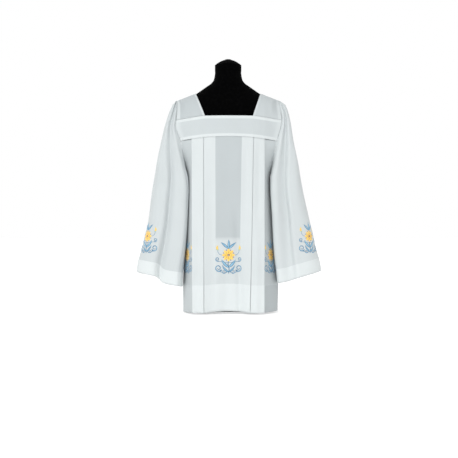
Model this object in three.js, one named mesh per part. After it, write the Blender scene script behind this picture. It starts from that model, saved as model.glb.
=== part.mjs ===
// A pleated surplice with a square yoke and wide bell sleeves, standing on a limbless dress form.
// Millimetres, +Z up. The front faces -Y and the wearer's left is at +X, so "right" and "left" below
// are those of someone facing the garment: left is -X. The origin is on the floor under the neck.
import * as THREE from 'three';

// ---- Cloth -------------------------------------------------------------------------------------
const CLOTH = 1.2;              // wall of one layer
const HEM_EXTRA = 0.6;          // how much a turned-up hem thickens that wall, on the inside
const SEAM = 0.5;               // gap between pieces that are sewn together
const EDGE_CLEAR = 1.6;         // step between two walls that meet at an angle along an armhole
const FRONT = -1;               // facing of the front, along Y
const BACK = 1;
const SIDES = [{ name: 'left', sign: -1 }, { name: 'right', sign: 1 }];

// ---- Yoke --------------------------------------------------------------------------------------
const RIDGE = { neckX: 147, neckZ: 990, slope: 0.378 };     // shoulder line, falling outwards
const NECK = {
  [FRONT]: { left: 102, right: 110, z: 878 },               // lower corners of the square neck
  [BACK]: { left: 108, right: 110, z: 896 },
};
const BAND_BOTTOM = { [FRONT]: 787, [BACK]: 800 };
const BAND_DROOP = 17;          // how much lower the band's lower edge lies at the armholes
const BAND_TOP_DROOP = 14;
const SHOULDER_FULLNESS = 2.3;  // superellipse power of the shoulder's profile from front to back

// Half widths of the body at its side edges, which are armhole edges above the underarm and side
// seams below it. reach is how far the armhole edge lies in front of or behind the middle.
const UNDERARM = 602;
const SIDE_EDGES = [
  { z: 958, left: 233, right: 231, reach: 2 },
  { z: 938, left: 229, right: 230, reach: 24 },
  { z: 905, left: 229, right: 236, reach: 39 },
  { z: 865, left: 232, right: 241, reach: 51 },
  { z: 840, left: 235, right: 238, reach: 57 },
  { z: 770, left: 213, right: 219, reach: 60 },
  { z: 674, left: 192, right: 199, reach: 42 },
  { z: UNDERARM, left: 184, right: 190, reach: 0.4 },
  { z: 450, left: 189, right: 199, reach: 0.4 },
  { z: 300, left: 195, right: 209, reach: 0.4 },
  { z: 130, left: 204, right: 227, reach: 0.4 },
  { z: 0, left: 203, right: 224, reach: 0.4 },
];

// ---- Skirt -------------------------------------------------------------------------------------
// Each half has a box pleat, a strip that stands proud from its slit to its outer fold. The cloth
// beyond the slit is folded under the middle of the panel. The Y columns are the depths of the
// middle, of the slit and of the outer fold.
const PLEATS = {
  [FRONT]: [
    { z: 800, leftOuter: 162, leftSlit: 108, rightSlit: 113, rightOuter: 162, middleY: 112, slitY: 104, outerY: 89 },
    { z: 690, leftOuter: 161, leftSlit: 108, rightSlit: 111, rightOuter: 162, middleY: 114, slitY: 110, outerY: 97 },
    { z: 450, leftOuter: 160, leftSlit: 107, rightSlit: 107, rightOuter: 161, middleY: 116, slitY: 120, outerY: 109 },
    { z: 300, leftOuter: 159, leftSlit: 107, rightSlit: 104, rightOuter: 161, middleY: 115, slitY: 126, outerY: 117 },
    { z: 130, leftOuter: 158, leftSlit: 106, rightSlit: 100, rightOuter: 160, middleY: 112, slitY: 132, outerY: 125 },
    { z: 0, leftOuter: 157, leftSlit: 106, rightSlit: 97, rightOuter: 160, middleY: 109, slitY: 135, outerY: 128 },
  ],
  [BACK]: [
    { z: 800, leftOuter: 160, leftSlit: 104, rightSlit: 106, rightOuter: 162, middleY: 108, slitY: 100, outerY: 86 },
    { z: 690, leftOuter: 161, leftSlit: 104, rightSlit: 106, rightOuter: 162, middleY: 110, slitY: 105, outerY: 93 },
    { z: 450, leftOuter: 163, leftSlit: 103, rightSlit: 107, rightOuter: 163, middleY: 113, slitY: 115, outerY: 104 },
    { z: 300, leftOuter: 164, leftSlit: 102, rightSlit: 108, rightOuter: 164, middleY: 114, slitY: 121, outerY: 112 },
    { z: 130, leftOuter: 165, leftSlit: 101, rightSlit: 109, rightOuter: 166, middleY: 113, slitY: 127, outerY: 120 },
    { z: 0, leftOuter: 166, leftSlit: 100, rightSlit: 110, rightOuter: 168, middleY: 112, slitY: 130, outerY: 124 },
  ],
};
const UNDERLAY = 52;            // width of the cloth folded under the middle beside each slit
const SLIT_GAP = 1.6;           // opening between the two folds that meet at a slit
const PLEAT_PITCH = { cloth: 2.4, hem: 4.2 };   // step from one folded layer to the next
const SIDE_ROUND = 30;          // length over which a side panel turns into the side seam
const HEM = 122;                // depth of the skirt's turned-up hem
const HEM_BOTTOM = { left: 4, strip: 7, middle: 15, right: 8 };
const SKIRT_DOWN = [0, 0.07, 0.15, 0.24, 0.38, 0.54, 0.7, 0.842, 0.85, 1];
const HEM_ROW = 8;              // the row of SKIRT_DOWN where the doubled hem starts

// ---- Sleeves -----------------------------------------------------------------------------------
// outline is the half width of the garment over a sleeve, depth half of the sleeve's own depth,
// gap its distance from the side seam, lean how far its front swings in over the side panel.
const SLEEVE_LEVELS = [
  { z: 958, left: 239, right: 238, depth: 7, leftGap: 0, rightGap: 0, leftLean: 0, rightLean: 0 },
  { z: 938, left: 252, right: 260, depth: 33, leftGap: 0, rightGap: 0, leftLean: 0, rightLean: 0 },
  { z: 870, left: 278, right: 280, depth: 62, leftGap: 0, rightGap: 0, leftLean: 0, rightLean: 0 },
  { z: 780, left: 300, right: 294, depth: 74, leftGap: 0, rightGap: 0, leftLean: 0, rightLean: 0 },
  { z: 660, left: 325, right: 319, depth: 82, leftGap: 1, rightGap: 1, leftLean: 20, rightLean: 20 },
  { z: 540, left: 346, right: 341, depth: 86, leftGap: 3, rightGap: 3, leftLean: 40, rightLean: 40 },
  { z: 420, left: 361, right: 368, depth: 88, leftGap: 4, rightGap: 3, leftLean: 42, rightLean: 46 },
  { z: 300, left: 389, right: 396, depth: 90, leftGap: 5, rightGap: 3, leftLean: 40, rightLean: 54 },
  { z: 190, left: 414, right: 421, depth: 93, leftGap: 6, rightGap: 3, leftLean: 36, rightLean: 62 },
];
const SLEEVE_POWER = 3; // superellipse power of a sleeve's section
const CUFF = { // heights of the cuff beside the body and at the outer edge
  left: { inner: 121, outer: 183, step: 0.4 },
  right: { inner: 137, outer: 189, step: 0 },
};
const SLEEVE_TOP = 956.5;
const SLEEVE_DOWN = [0, 0.03, 0.065, 0.106, 0.144, 0.183, 0.22, 0.28, 0.35, 0.43, 0.54, 0.72, 0.915, 0.927, 1];
const CUFF_ROW = 13;            // the row of SLEEVE_DOWN where the doubled cuff hem starts
const SLEEVE_AROUND = 28;
// Folds run the sleeve's length. around is in degrees from the body over the front to the outside.
const SLEEVE_FOLDS = {
  left: [
    { around: 95, width: 13, topDepth: 3, cuffDepth: 27 },
    { around: 238, width: 20, topDepth: 2, cuffDepth: 17 },
    { around: 292, width: 16, topDepth: 1, cuffDepth: 10 },
  ],
  right: [
    { around: 84, width: 17, topDepth: 3, cuffDepth: 14 },
    { around: 262, width: 18, topDepth: 2, cuffDepth: 21 },
  ],
};

// ---- Dress form and stand ----------------------------------------------------------------------
// Sections of the torso: half width, depth to the front and back, superellipse power.
const TORSO = [
  { z: 1089, half: 59, front: 58, back: 58, power: 2 },
  { z: 1071, half: 61, front: 60, back: 60, power: 2 },
  { z: 1053, half: 65, front: 62, back: 63, power: 2 },
  { z: 1037, half: 76, front: 63, back: 66, power: 2 },
  { z: 1019, half: 101, front: 65, back: 68, power: 2 },
  { z: 1003, half: 124, front: 68, back: 69, power: 2 },
  { z: 988, half: 146, front: 71, back: 70, power: 2 },
  { z: 972, half: 180, front: 75, back: 71, power: 2 },
  { z: 957, half: 207, front: 80, back: 74, power: 2.1 },
  { z: 942, half: 219, front: 85, back: 78, power: 2.2 },
  { z: 915, half: 223, front: 93, back: 85, power: 2.3 },
  { z: 870, half: 219, front: 99, back: 93, power: 2.4 },
  { z: 820, half: 203, front: 101, back: 96, power: 2.4 },
  { z: 750, half: 178, front: 101, back: 96, power: 2.4 },
  { z: 690, half: 168, front: 100, back: 94, power: 2.4 },
  { z: 610, half: 156, front: 96, back: 86, power: 2.3 },
  { z: 530, half: 148, front: 92, back: 82, power: 2.2 },
  { z: 460, half: 153, front: 93, back: 90, power: 2.2 },
  { z: 400, half: 161, front: 97, back: 99, power: 2.3 },
  { z: 342, half: 164, front: 98, back: 101, power: 2.3 },
];
const TORSO_SIDES = 36;
const CAP = { radius: 60, rim: 29, dome: 24.5, seat: 1089 };
const KNOB = { radius: 15, crown: 8, height: 3.5 };
const FLANGE = { radius: 46, height: 8 };
const POLE = { radius: 14 };
const BASE = { width: 300, depth: 172, height: 9, corner: 60 };
const ROUND_SIDES = 32;

// ---- Materials ---------------------------------------------------------------------------------
const MATERIALS = {
  cloth: { color: 0xe6eaea, roughness: 0.9, metalness: 0 },
  cover: { color: 0x0b0b0c, roughness: 0.95, metalness: 0 },
  paint: { color: 0xdfe1e1, roughness: 0.45, metalness: 0 },
};

const surplice = new THREE.Group();
surplice.name = 'surplice';

function addPart(name, geometry, material) {
  const mesh = new THREE.Mesh(geometry, new THREE.MeshStandardMaterial(MATERIALS[material]));
  mesh.name = name;
  surplice.add(mesh);
}

// ---- Working functions -------------------------------------------------------------------------

const mix = (from, to, t) => from + (to - from) * t;

// Smooth value of one column of a table whose rows run down in z. Between rows it never leaves the
// two values there, because the slope at a row is the harmonic mean of the slopes on either side.
function sample(table, column, z) {
  const last = table.length - 1;
  if (z >= table[0].z) return table[0][column];
  if (z <= table[last].z) return table[last][column];
  const row = table.findIndex((entry) => entry.z < z) - 1;
  const secant = (index) => {
    const [above, below] = [table[index], table[index + 1]];
    return (below[column] - above[column]) / (below.z - above.z);
  };
  const slope = (index) => {
    if (index === 0 || index === last) return 0;
    const [before, after] = [secant(index - 1), secant(index)];
    return before * after <= 0 ? 0 : (2 * before * after) / (before + after);
  };
  const span = table[row + 1].z - table[row].z;
  const t = (z - table[row].z) / span;
  const blend = mix(table[row][column], table[row + 1][column], t * t * (3 - 2 * t));
  return blend + t * (1 - t) * span * ((1 - t) * slope(row) - t * slope(row + 1));
}

const clamp01 = (value) => Math.min(1, Math.max(0, value));
const smooth = (value) => clamp01(value) ** 2 * (3 - 2 * clamp01(value));
const signedPower = (value, power) => Math.sign(value) * Math.abs(value) ** power;

// A closed body from a grid of points whose rows all have the same length. From the step turnFrom
// on, its faces are split along their other diagonal: a wall's two skins then bend along the same
// lines, and can't pass through each other where the cloth twists.
function bodyFromRings(rings, turnFrom = Infinity) {
  const across = rings[0].length;
  const positions = rings.flat().flatMap((point) => [point.x, point.y, point.z]);
  const index = [];
  for (let row = 0; row < rings.length - 1; row += 1) {
    for (let step = 0; step < across; step += 1) {
      const next = (step + 1) % across;
      const [a, b] = [row * across + step, row * across + next];
      const [c, d] = [b + across, a + across];
      if (step < turnFrom) index.push(a, b, c, a, c, d);
      else index.push(a, b, d, b, c, d);
    }
  }
  return { positions, index, across };
}

function toGeometry(positions, index) {
  const geometry = new THREE.BufferGeometry();
  geometry.setAttribute('position', new THREE.Float32BufferAttribute(positions, 3));
  geometry.setIndex(signedVolume(positions, index) < 0 ? index.toReversed() : index);
  geometry.computeVertexNormals();
  return geometry;
}

function signedVolume(positions, index) {
  let volume = 0;
  for (let corner = 0; corner < index.length; corner += 3) {
    const [a, b, c] = [0, 1, 2].map((k) => new THREE.Vector3().fromArray(positions, 3 * index[corner + k]));
    volume += a.dot(b.cross(c)) / 6;
  }
  return volume;
}

// A solid from rings that are closed by a fan at each end.
function ringSolid(rings) {
  const { positions, index, across } = bodyFromRings(rings);
  for (const row of [0, rings.length - 1]) {
    const centre = positions.length / 3;
    const sum = rings[row].reduce((total, point) => total.add(point), new THREE.Vector3());
    positions.push(...sum.divideScalar(across).toArray());
    for (let step = 0; step < across; step += 1) {
      const here = row * across + step;
      const next = row * across + ((step + 1) % across);
      index.push(centre, ...(row === 0 ? [next, here] : [here, next]));
    }
  }
  return toGeometry(positions, index);
}

// A wall of cloth on a grid of points of its middle surface. Each point moves out along the mean
// normal of the faces round it, far enough to keep the thickness at a fold. inner(row) is the
// distance from the middle surface to the inside face.
function clothWall(grid, outward, inner) {
  const rows = grid.length;
  const columns = grid[0].length;
  const faceNormal = (row, column) => {
    const along = grid[row + 1][column].clone().sub(grid[row][column]);
    along.add(grid[row + 1][column + 1]).sub(grid[row][column + 1]);
    const across = grid[row][column + 1].clone().sub(grid[row][column]);
    across.add(grid[row + 1][column + 1]).sub(grid[row + 1][column]);
    return across.cross(along).normalize().multiplyScalar(outward);
  };
  const offsets = (row, column) => {
    const around = [];
    for (const r of [row - 1, row]) {
      for (const c of [column - 1, column]) {
        if (r >= 0 && r < rows - 1 && c >= 0 && c < columns - 1) around.push(faceNormal(r, c));
      }
    }
    const normal = around.reduce((total, each) => total.add(each), new THREE.Vector3()).normalize();
    const reach = Math.min(...around.map((each) => Math.max(each.dot(normal), 0.6)));
    return normal.divideScalar(reach);
  };
  const skin = (distance) => grid.map((line, row) => line.map((point, column) => (
    point.clone().addScaledVector(offsets(row, column), distance(row)))));
  const outside = skin(() => CLOTH / 2);
  const inside = skin((row) => -inner(row));
  // Each row becomes a ring: along the outside and back along the inside.
  const rings = outside.map((line, row) => [...line, ...inside[row].toReversed()]);
  const { positions, index, across } = bodyFromRings(rings, columns - 1);
  for (const row of [0, rows - 1]) {
    for (let column = 0; column < columns - 1; column += 1) {
      const [a, b] = [row * across + column, row * across + column + 1];
      const [c, d] = [row * across + across - 2 - column, row * across + across - 1 - column];
      if (row === 0) index.push(a, c, b, a, d, c);
      else index.push(a, b, c, a, c, d);
    }
  }
  return toGeometry(positions, index);
}

// ---- Surfaces that the pieces share -------------------------------------------------------------

// Depth of the front or back of the body at a place across it, with no pleat in it.
function panelDepth(facing, x, z) {
  const table = PLEATS[facing];
  const side = x < 0 ? 'left' : 'right';
  const slit = sample(table, `${side}Slit`, z);
  const outer = sample(table, `${side}Outer`, z);
  const middleY = sample(table, 'middleY', z);
  const slitY = sample(table, 'slitY', z);
  const outerY = sample(table, 'outerY', z);
  const away = Math.abs(x);
  if (away <= slit) return facing * mix(middleY, slitY, (away / slit) ** 2);
  if (away <= outer) return facing * mix(slitY, outerY, (away - slit) / (outer - slit));
  const edge = sample(SIDE_EDGES, side, z);
  const reach = sample(SIDE_EDGES, 'reach', z);
  return facing * mix(outerY, reach, (away - outer) / (edge - outer));
}

// A point of the yoke: drop runs from the shoulder line, 0, to the foot of the shoulder piece, 1.
function shoulderPoint(facing, side, across, drop) {
  const ridgeEdge = SIDE_EDGES[0];
  const neckX = mix(RIDGE.neckX, NECK[facing][side.name], drop);
  const footZ = NECK[facing].z - BAND_TOP_DROOP * across;
  const outerRidgeZ = RIDGE.neckZ - RIDGE.slope * (ridgeEdge[side.name] - RIDGE.neckX);
  const z = mix(mix(RIDGE.neckZ, outerRidgeZ, across), footZ, drop);
  const x = mix(neckX, sample(SIDE_EDGES, side.name, z), across);
  const profile = (1 - (1 - drop) ** SHOULDER_FULLNESS) ** (1 / SHOULDER_FULLNESS);
  const footY = Math.abs(panelDepth(facing, side.sign * x * 0.995, footZ));
  const y = mix(footY * profile, sample(SIDE_EDGES, 'reach', z), smooth((across - 0.6) / 0.4));
  return new THREE.Vector3(side.sign * x, facing * y, z);
}

// A wall with no hem on it, as clothWall's inner.
const flatWall = () => CLOTH / 2;

// ---- Yoke --------------------------------------------------------------------------------------

const SHOULDER_ACROSS = 6;
const SHOULDER_DROPS = [1, 0.86, 0.7, 0.54, 0.38, 0.24, 0.12, 0.04];

function yokeShoulder(side) {
  const grid = [];
  const line = (facing, drop) => {
    const foot = drop === 1 ? SEAM / 2 : 0;
    return Array.from({ length: SHOULDER_ACROSS }, (_, step) => {
      const point = shoulderPoint(facing, side, step / (SHOULDER_ACROSS - 1), drop);
      return point.setZ(point.z + foot);
    });
  };
  for (const drop of SHOULDER_DROPS) grid.push(line(FRONT, drop));
  grid.push(line(FRONT, 0));
  for (const drop of SHOULDER_DROPS.toReversed()) grid.push(line(BACK, drop));
  return clothWall(grid, side.sign, flatWall);
}

const BAND_ACROSS = 18;
const BAND_ROWS = 4;

function yokeBand(facing) {
  const grid = [];
  for (let row = 0; row < BAND_ROWS; row += 1) {
    const line = [];
    for (let step = 0; step <= BAND_ACROSS; step += 1) {
      const way = (2 * step) / BAND_ACROSS - 1;
      const side = way < 0 ? 'left' : 'right';
      const neck = NECK[facing][side];
      const top = (edge) => NECK[facing].z - BAND_TOP_DROOP * clamp01((edge * Math.abs(way) - neck) / (edge - neck));
      const bottom = BAND_BOTTOM[facing] - BAND_DROOP * way ** 2;
      const topZ = top(sample(SIDE_EDGES, side, NECK[facing].z)) - SEAM / 2;
      const z = mix(topZ, bottom + SEAM / 2, row / (BAND_ROWS - 1));
      const x = way * sample(SIDE_EDGES, side, z);
      line.push(new THREE.Vector3(x, panelDepth(facing, x * 0.995, z), z));
    }
    grid.push(line);
  }
  return clothWall(grid, facing, flatWall);
}

// ---- Skirt -------------------------------------------------------------------------------------

// One half of a pleated section, from the side edge to the middle, as { x, y }.
// layer counts the folded layers inwards from the face.
function pleatedHalf(facing, side, z) {
  const table = PLEATS[facing];
  const outer = sample(table, `${side.name}Outer`, z);
  const slit = sample(table, `${side.name}Slit`, z);
  const edge = sample(SIDE_EDGES, side.name, z);
  const reach = sample(SIDE_EDGES, 'reach', z);
  const pitch = mix(PLEAT_PITCH.cloth, PLEAT_PITCH.hem, smooth((HEM + 60 - z) / 60));
  const turn = pitch / 2;
  const points = [];
  const put = (x, layer) => {
    const onFace = Math.min(x, outer);
    points.push({ x, y: Math.abs(panelDepth(facing, side.sign * onFace, z)) - layer * pitch });
  };
  const fold = (x, way, from, to) => {
    put(x - way * turn, from);
    put(x, (from + to) / 2);
    put(x - way * turn, to);
  };
  const middleOfStrip = (outer + slit) / 2;
  const emerge = Math.abs(panelDepth(facing, side.sign * outer, z)) - 2 * pitch;
  const rounding = SIDE_ROUND * clamp01(1 - reach / 50);
  for (const t of [0, 0.18, 0.4, 0.62, 0.84]) {
    const corner = { x: edge, y: reach + rounding };
    const near = { x: mix(edge, corner.x, t), y: mix(reach, corner.y, t) };
    const far = { x: mix(corner.x, outer - turn, t), y: mix(corner.y, emerge, t) };
    points.push({ x: mix(near.x, far.x, t), y: mix(near.y, far.y, t) });
  }
  put(outer - turn, 2);
  fold(middleOfStrip + SLIT_GAP / 2, -1, 2, 1);
  fold(outer, 1, 1, 0);
  put(mix(outer, slit, 0.5), 0);
  fold(slit + SLIT_GAP / 2, -1, 0, 1);
  fold(middleOfStrip - SLIT_GAP / 2, 1, 1, 2);
  for (const t of [1, 0.7]) put(t * slit, 2);
  fold(slit - UNDERLAY, -1, 2, 1);
  put(0.7 * slit, 1);
  fold(slit - SLIT_GAP / 2, 1, 1, 0);
  for (const t of [0.7, 0.35]) put(t * slit, 0);
  return points;
}

function hemBottom(facing, side, x, z) {
  const outer = sample(PLEATS[facing], `${side.name}Outer`, z);
  const slit = sample(PLEATS[facing], `${side.name}Slit`, z);
  if (x < slit) return mix(HEM_BOTTOM.middle, HEM_BOTTOM.strip, (x / slit) ** 2);
  return mix(HEM_BOTTOM.strip, HEM_BOTTOM[side.name], smooth((x - outer) / 30));
}

function skirt(facing) {
  const grid = SKIRT_DOWN.map((down) => {
    const half = (side) => {
      const shape = (z) => pleatedHalf(facing, side, z);
      const widest = SIDE_EDGES.find(({ z }) => z === 770)[side.name];
      const topZ = (x) => BAND_BOTTOM[facing] - BAND_DROOP * (x / widest) ** 2 - SEAM / 2;
      const level = mix(BAND_BOTTOM[facing], HEM_BOTTOM.strip, down);
      return shape(level).map(({ x }, index) => {
        const z = mix(topZ(x), hemBottom(facing, side, x, 0), down);
        const point = shape(z)[index];
        return new THREE.Vector3(side.sign * point.x, facing * point.y, z);
      });
    };
    const [left, right] = SIDES.map(half);
    const middleZ = mix(BAND_BOTTOM[facing] - SEAM / 2, HEM_BOTTOM.middle, down);
    const middle = new THREE.Vector3(0, panelDepth(facing, 0, middleZ), middleZ);
    return [...left, middle, ...right.toReversed()];
  });
  return clothWall(grid, facing, (row) => CLOTH / 2 + (row >= HEM_ROW ? HEM_EXTRA : 0));
}

// ---- Sleeves -----------------------------------------------------------------------------------

function sleeve(side) {
  const cuff = CUFF[side.name];
  const folds = SLEEVE_FOLDS[side.name];
  const grid = SLEEVE_DOWN.map((down) => {
    const innerZ = mix(SLEEVE_TOP, cuff.inner, down);
    const outerZ = mix(SLEEVE_TOP, cuff.outer, down);
    const reach = sample(SIDE_EDGES, 'reach', innerZ);
    const gap = EDGE_CLEAR + sample(SLEEVE_LEVELS, `${side.name}Gap`, innerZ);
    const inner = sample(SIDE_EDGES, side.name, innerZ) + gap;
    const outer = sample(SLEEVE_LEVELS, side.name, outerZ);
    const depth = sample(SLEEVE_LEVELS, 'depth', innerZ);
    const lean = sample(SLEEVE_LEVELS, `${side.name}Lean`, innerZ);
    // The section starts where the superellipse is as far from the middle as the armhole edge.
    const startY = Math.min(reach / depth, 0.97);
    const startAngle = Math.asin(startY ** (SLEEVE_POWER / 2));
    const half = (outer - inner) / (1 + Math.cos(startAngle) ** (2 / SLEEVE_POWER));
    const centre = outer - half;
    const line = [];
    for (let step = 0; step <= SLEEVE_AROUND; step += 1) {
      const angle = mix(startAngle, 2 * Math.PI - startAngle, step / SLEEVE_AROUND);
      const degrees = THREE.MathUtils.radToDeg(angle);
      const alongX = signedPower(Math.cos(angle), 2 / SLEEVE_POWER);
      const alongY = signedPower(Math.sin(angle), 2 / SLEEVE_POWER);
      const squeeze = folds.reduce((total, fold) => {
        const falloff = Math.exp(-(((degrees - fold.around) / fold.width) ** 2));
        return total + mix(fold.topDepth, fold.cuffDepth, down) * falloff;
      }, 0);
      const forward = Math.max(alongY - startY, 0) / (1 - startY);
      const x = centre - half * alongX - lean * forward ** 2;
      const y = -depth * alongY;
      const length = Math.hypot(x - centre, y);
      const keep = 1 - squeeze / Math.max(length, 1);
      const outwards = clamp01((x - inner) / (outer - inner));
      const rise = mix(outwards, smooth((outwards - 0.3) / 0.3), cuff.step);
      line.push(new THREE.Vector3(
        side.sign * (centre + (x - centre) * keep), y * keep, mix(innerZ, outerZ, rise)));
    }
    return line;
  });
  return clothWall(grid, -side.sign, (row) => CLOTH / 2 + (row >= CUFF_ROW ? HEM_EXTRA : 0));
}

// ---- Dress form and stand ----------------------------------------------------------------------

function torso() {
  const rings = TORSO.map((level) => Array.from({ length: TORSO_SIDES }, (_, step) => {
    const angle = (2 * Math.PI * step) / TORSO_SIDES;
    const x = level.half * signedPower(Math.cos(angle), 2 / level.power);
    const alongY = signedPower(Math.sin(angle), 2 / level.power);
    return new THREE.Vector3(x, alongY * (alongY < 0 ? level.front : level.back), level.z);
  }));
  return ringSolid(rings);
}

// A body turned about Z from a profile of [radius, height] pairs that starts and ends on the axis.
function turned(profile) {
  const points = profile.map(([radius, height]) => new THREE.Vector2(radius, height));
  return new THREE.LatheGeometry(points, ROUND_SIDES).rotateX(Math.PI / 2);
}

function capProfile() {
  const bottom = CAP.seat + SEAM;
  const profile = [[0, bottom], [CAP.radius - 1.5, bottom], [CAP.radius, bottom + 1.5]];
  // The dome is a shallow bowl, flat on top where the knob sits.
  const flat = KNOB.radius / CAP.radius;
  for (const out of [1, 0.94, 0.86, 0.76, 0.64, 0.5, 0.36, flat]) {
    const rise = (1 - out ** 2) / (1 - flat ** 2);
    profile.push([CAP.radius * out, bottom + CAP.rim + CAP.dome * rise]);
  }
  return [...profile, [0, bottom + CAP.rim + CAP.dome]];
}

// The knob is a low button that carries on the dome's curve.
function knobProfile() {
  const bottom = CAP.seat + 2 * SEAM + CAP.rim + CAP.dome;
  const top = bottom + KNOB.height;
  return [
    [0, bottom], [KNOB.radius - 0.6, bottom], [KNOB.radius, bottom + 0.6],
    [KNOB.radius - 2.5, top - 1], [KNOB.crown, top - 0.2], [0, top],
  ];
}

function cylinder(radius, bottom, top) {
  return turned([[0, bottom], [radius, bottom], [radius, top], [0, top]]);
}

function basePlate() {
  const { width, depth, height, corner } = BASE;
  const [x, y] = [width / 2 - corner, depth / 2 - corner];
  const outline = new THREE.Shape();
  outline.absarc(x, y, corner, 0, Math.PI / 2);
  outline.absarc(-x, y, corner, Math.PI / 2, Math.PI);
  outline.absarc(-x, -y, corner, Math.PI, 1.5 * Math.PI);
  outline.absarc(x, -y, corner, 1.5 * Math.PI, 2 * Math.PI);
  return new THREE.ExtrudeGeometry(outline, { depth: height, bevelEnabled: false, curveSegments: 8 });
}

// ---- The object --------------------------------------------------------------------------------

for (const side of SIDES) addPart(`yoke_shoulder_${side.name}`, yokeShoulder(side), 'cloth');
addPart('yoke_band_front', yokeBand(FRONT), 'cloth');
addPart('yoke_band_back', yokeBand(BACK), 'cloth');
addPart('skirt_front', skirt(FRONT), 'cloth');
addPart('skirt_back', skirt(BACK), 'cloth');
for (const side of SIDES) addPart(`sleeve_${side.name}`, sleeve(side), 'cloth');

const torsoBottom = TORSO.at(-1).z;
const flangeBottom = torsoBottom - SEAM - FLANGE.height;
addPart('form_torso', torso(), 'cover');
addPart('form_cap', turned(capProfile()), 'cover');
addPart('form_knob', turned(knobProfile()), 'cover');
addPart('stand_flange', cylinder(FLANGE.radius, flangeBottom, torsoBottom - SEAM), 'paint');
addPart('stand_pole', cylinder(POLE.radius, BASE.height + SEAM, flangeBottom - SEAM), 'paint');
addPart('stand_base', basePlate(), 'paint');

export default surplice;
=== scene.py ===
import math

import bpy
import numpy as np
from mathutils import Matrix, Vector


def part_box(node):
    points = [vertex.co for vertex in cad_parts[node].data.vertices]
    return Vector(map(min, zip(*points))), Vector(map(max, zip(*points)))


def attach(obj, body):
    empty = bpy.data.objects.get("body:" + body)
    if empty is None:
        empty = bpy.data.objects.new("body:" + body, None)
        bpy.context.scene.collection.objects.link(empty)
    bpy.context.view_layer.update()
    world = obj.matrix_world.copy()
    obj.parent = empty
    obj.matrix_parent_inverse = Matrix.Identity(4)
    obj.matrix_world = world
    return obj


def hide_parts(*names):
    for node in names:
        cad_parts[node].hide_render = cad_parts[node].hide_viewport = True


# The looks of a pleated surplice that hangs on a limbless dress form.
#
# Tables and sizes are in millimetres, as in the part's own source. MM turns them into metres, the
# unit of every Blender object here. The front faces -Y, and "left" is the left of someone who faces
# the garment, which is -X.
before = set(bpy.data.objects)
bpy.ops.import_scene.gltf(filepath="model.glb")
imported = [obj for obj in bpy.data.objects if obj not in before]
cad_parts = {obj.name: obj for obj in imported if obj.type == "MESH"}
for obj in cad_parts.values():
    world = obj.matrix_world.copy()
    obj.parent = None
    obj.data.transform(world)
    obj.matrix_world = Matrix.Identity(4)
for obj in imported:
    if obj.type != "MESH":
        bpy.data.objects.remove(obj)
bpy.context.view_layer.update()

MM = 0.001
FRONT, BACK = -1, 1
SIDES = {"left": -1, "right": 1}

# ---- Cloth --------------------------------------------------------------------------------------
WALL = 0.7              # thickness of one layer
LAYER = 1.0             # step from a layer to one that is turned in behind it
SEAM = 0.1              # gap at a seam
SEAM_ALLOWANCE = 11     # cloth turned in behind a seam
ARMHOLE_ALLOWANCE = 15
NECK_EDGE = 8
HEM = 122
CUFF_HEM = 60
HEM_TURN = 7            # raw edge turned under along the top of a hem
STITCH = {"length": 2.3, "pitch": 3.1, "width": 0.28}
ROW_STEP = 9            # from one row of a grid to the next, down the cloth

# How far a piece's colour goes from white, where the cloth lies on cloth, to the grey of one layer
# over the black form; the same grey is also painted shade, where a hollow inside or a side away from
# the light lies in shade. A little below 0 is whiter still, as on the ridge along the top of a hem.
CLOTH_WHITE = (0.612, 0.65, 0.654, 1)
CLOTH_OVER_BLACK_AND_SHADED = (0.427, 0.463, 0.474, 1)
# The side panel's value is partly one layer over the form and partly painted shade of the hollow inside and
# of the sleeves beside it.
VEIL_AND_SHADE_SIDE, VEIL_STRIP, VEIL_TRIPLE, VEIL_SINGLE, VEIL_HIDDEN = 0.8, 0.26, 0.3, 0.99, 0.3
# Painted shade of the skirt's hollow inside, seen through one layer below the form.
PAINTED_SHADE_BELOW_FORM = 0.42
# Painted shade on the side panels' hems, darker on the right, the side away from the key light.
PAINTED_SHADE_SIDE_HEM = {"left": 0.72, "right": 1.0}
VEIL_BAND, VEIL_BAND_END = 0.7, 0.3
# One layer over the form; the left shoulder also gets painted shade, which evens it with the right against
# the key light from the left.
VEIL_AND_SHADE_SHOULDER = {"left": 1.0, "right": 0.78}
# Painted shade of a sleeve's hollow inside, seen through its one layer; darker on the left.
PAINTED_SHADE_SLEEVE = {"left": 0.55, "right": 0.4}

# ---- Yoke and skirt -----------------------------------------------------------------------------
RIDGE = {"neck_x": 147, "neck_z": 990, "slope": 0.378}
NECK = {
    FRONT: {"left": 102, "right": 110, "z": 878},
    BACK: {"left": 108, "right": 110, "z": 896},
}
BAND_BOTTOM = {FRONT: 787, BACK: 800}
BAND_DROOP = 17
BAND_TOP_DROOP = 14
SHOULDER_FULLNESS = 2.3
HEM_BOTTOM = {"left": 4, "strip": 7, "middle": 15, "right": 8}
UNDERLAY = 52           # how far a pleat reaches in under the middle
SLIT_GAP = 2.2
SIDE_ROUND = 30         # how far the side panel rounds out below the armhole
PLEAT_PITCH = {"cloth": 2.2, "hem": 4.0}
# Grid steps: of the side panel, and of a pleat's stretches from its outer end to the middle.
SIDE_STEPS, UNDER_STEPS, STRIP_STEPS, TUCK_STEPS, RETURN_STEPS = 26, 5, 14, 16, 10
TRIPLE_STEPS, SINGLE_STEPS, FOLD_POINTS = 14, 15, 7
BAND_ROWS, BAND_COLUMNS = 27, 121
SHOULDER_ROWS, SHOULDER_COLUMNS = 30, 34
BAND_LEVEL, SHOULDER_POINT = 770, 958   # where the skirt's and the shoulders' widths are taken


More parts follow.
